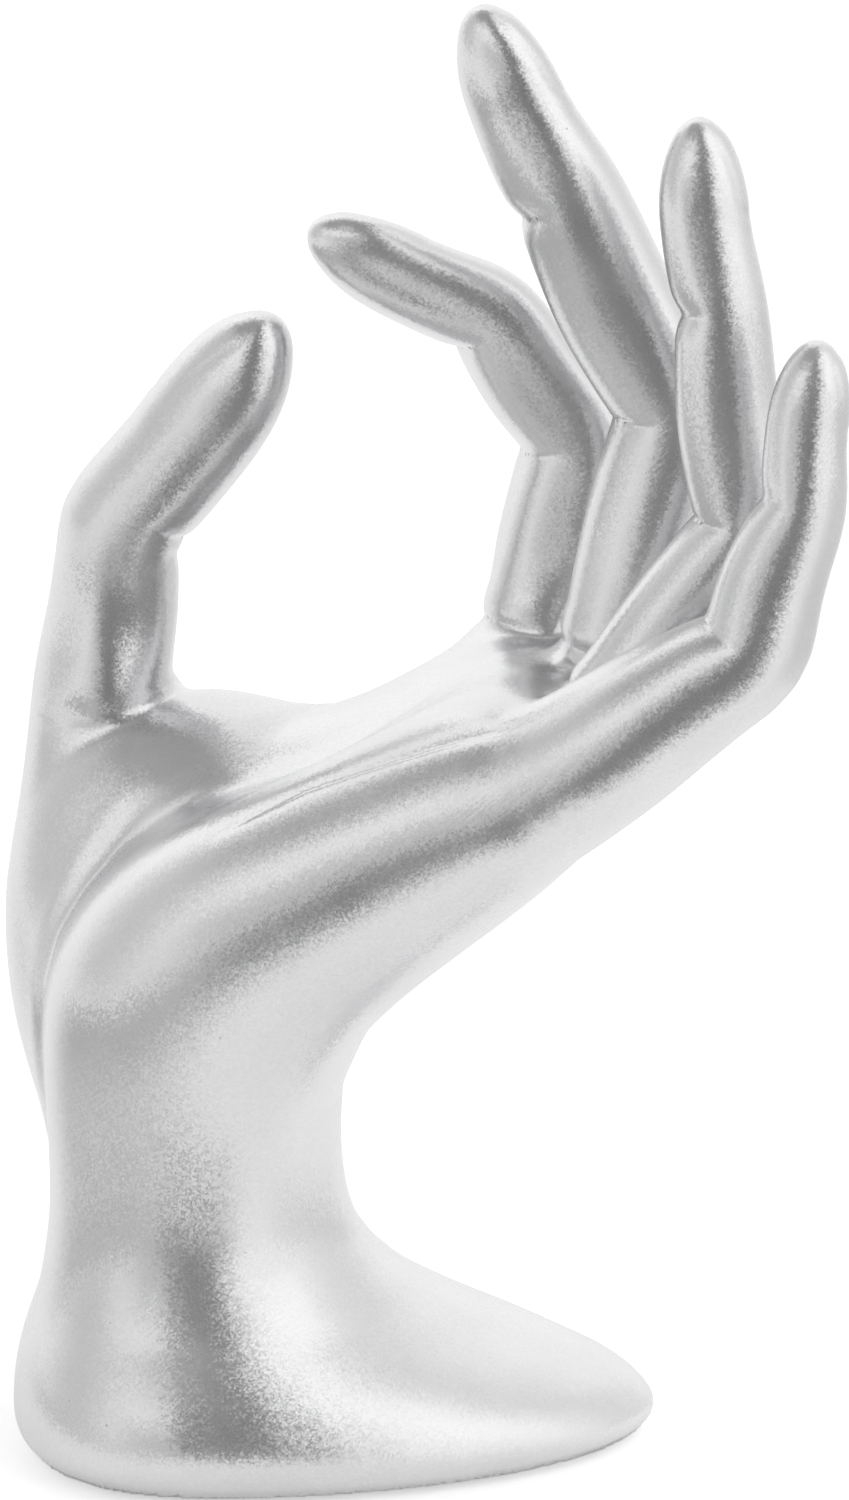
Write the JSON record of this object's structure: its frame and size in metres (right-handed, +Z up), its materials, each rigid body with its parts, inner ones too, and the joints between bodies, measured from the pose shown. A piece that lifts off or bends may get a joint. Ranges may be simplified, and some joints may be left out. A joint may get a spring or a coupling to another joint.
{
  "type": "hand jewelry stand",
  "caption": "Free-standing hand on a flared foot, palm up with curved fingers and thumb held apart, for hanging rings, bracelets and necklaces.",
  "frame": {"origin": "centre of the foot, from heel to toe and from side to side, on the underside of the base pad", "axes": "+Z up, +X from the heel of the foot to its toe and to the fingertips, +Y to the thumb side"},
  "size_m": [0.0929, 0.0638, 0.1597],
  "materials": {
    "silver_paint": "satin silver metallic paint over cast resin, fine flake",
    "dowel_steel": "plain ground steel",
    "pad_felt": "dark pressed felt"
  },
  "bodies": {
    "root": {"hand_body": "silver_paint", "thumb": "silver_paint", "index_finger": "silver_paint", "middle_finger": "silver_paint", "ring_finger": "silver_paint", "little_finger": "silver_paint", "digit_dowels": "dowel_steel", "base_pad": "pad_felt"}
  },
  "joints": []
}
